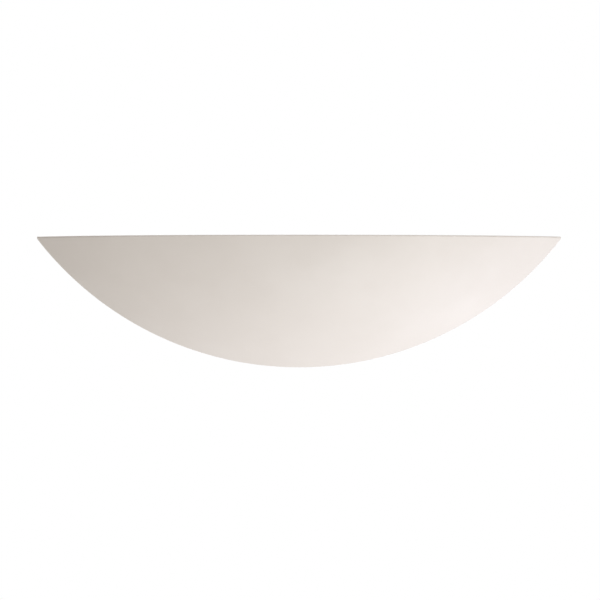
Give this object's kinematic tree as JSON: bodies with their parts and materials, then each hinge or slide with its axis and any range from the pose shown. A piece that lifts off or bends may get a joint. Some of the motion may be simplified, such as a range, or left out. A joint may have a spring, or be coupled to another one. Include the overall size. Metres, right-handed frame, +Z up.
{
  "type": "wall uplighter",
  "caption": "Half-moon plaster wall uplighter: an open-topped crescent shade that hangs on a steel wall plate and hides a linear halogen lamp, its sprung holders and wiring.",
  "frame": {"origin": "on the wall's face, midway between the two wall-fixing slots of the wall plate", "axes": "+X right as seen from the room, +Y into the wall, +Z up; the light leaves upwards"},
  "size_m": [0.5, 0.11, 0.125],
  "materials": {
    "white_plaster": "satin",
    "zinc_plated_steel": "satin",
    "screw_steel": "polished",
    "brass": "satin",
    "white_coated_steel": "satin",
    "grommet_rubber": "matte",
    "rivet_aluminium": "satin",
    "reflector_aluminium": "polished",
    "steatite": "matte",
    "mica": "satin",
    "contact_metal": "polished",
    "spring_steel": "polished",
    "quartz": "gloss",
    "lamp_ceramic": "matte",
    "filament_metal": "satin",
    "terminal_plastic": "satin",
    "brown_sleeve": "satin",
    "blue_sleeve": "satin",
    "green_yellow_sleeve": "satin",
    "copper": "polished"
  },
  "bodies": {
    "fixture": {"wall_plate": "white_coated_steel", "hang_stud_left": "screw_steel", "hang_stud_right": "screw_steel", "cable_grommet": "grommet_rubber", "support_bracket": "white_coated_steel", "support_screws": "screw_steel", "lamp_tray": "white_coated_steel", "tray_rivets": "rivet_aluminium", "reflector": "reflector_aluminium", "reflector_rivets": "rivet_aluminium", "lampholder_left": "steatite", "lampholder_right": "steatite", "holder_insulators": "mica", "holder_screws": "screw_steel", "holder_nuts": "screw_steel", "contact_spring_left": "spring_steel", "contact_spring_right": "spring_steel", "terminal_block": "terminal_plastic", "terminal_clamps": "brass", "terminal_screws": "screw_steel", "terminal_mount_screws": "screw_steel", "earth_stud": "brass", "earth_washer": "screw_steel", "earth_ring": "contact_metal", "earth_nut": "brass", "live_lead": "brown_sleeve", "neutral_lead": "blue_sleeve", "earth_lead": "green_yellow_sleeve", "lead_conductors": "copper"},
    "shade_body": {"shade": "white_plaster", "hanger_plate_left": "zinc_plated_steel", "hanger_plate_right": "zinc_plated_steel", "hanger_screws": "screw_steel", "hanger_inserts": "brass"},
    "lamp": {"lamp_envelope": "quartz", "lamp_base_left": "lamp_ceramic", "lamp_base_right": "lamp_ceramic", "lamp_end_contacts": "contact_metal", "lamp_lead_wires": "filament_metal", "lamp_filament": "filament_metal", "filament_supports": "filament_metal"},
    "pin_left": {"contact_left": "contact_metal"},
    "pin_right": {"contact_right": "contact_metal"},
    "washer_left": {"clamp_washer_left": "zinc_plated_steel"},
    "washer_right": {"clamp_washer_right": "zinc_plated_steel"},
    "nut_left": {"thumb_nut_left": "brass"},
    "nut_right": {"thumb_nut_right": "brass"}
  },
  "joints": [
    {"name": "shade_lift", "type": "slide", "parent": "fixture", "child": "shade_body", "axis": [0, 0, 1], "range_m": [0, 0.013]},
    {"name": "lamp_slide", "type": "slide", "parent": "fixture", "child": "lamp", "axis": [1, 0, 0], "range_m": [-0.003, 0.003], "stiffness_N_per_m": 1000},
    {"name": "pin_left_slide", "type": "slide", "parent": "fixture", "child": "pin_left", "axis": [1, 0, 0], "range_m": [-0.003, 0.003], "deforming": ["contact_spring_left"]},
    {"name": "pin_right_slide", "type": "slide", "parent": "fixture", "child": "pin_right", "axis": [1, 0, 0], "range_m": [-0.003, 0.003], "deforming": ["contact_spring_right"]},
    {"name": "washer_left_slide", "type": "slide", "parent": "fixture", "child": "washer_left", "axis": [0, -1, 0], "range_m": [0, 0.0016]},
    {"name": "washer_right_slide", "type": "slide", "parent": "fixture", "child": "washer_right", "axis": [0, -1, 0], "range_m": [0, 0.0016]},
    {"name": "nut_left_turn", "type": "hinge", "parent": "washer_left", "child": "nut_left", "pos_m": [-0.138, 0, 0.018], "axis": [0, -1, 0], "range_deg": [0, 720]},
    {"name": "nut_right_turn", "type": "hinge", "parent": "washer_right", "child": "nut_right", "pos_m": [0.138, 0, 0.018], "axis": [0, -1, 0], "range_deg": [0, 720]}
  ],
  "couplings": [
    {"joint": "pin_left_slide", "follows": "lamp_slide", "ratio": 1},
    {"joint": "pin_right_slide", "follows": "lamp_slide", "ratio": 1},
    {"joint": "washer_left_slide", "follows": "nut_left_turn", "m_per_rad": 0.000127},
    {"joint": "washer_right_slide", "follows": "nut_right_turn", "m_per_rad": 0.000127}
  ]
}
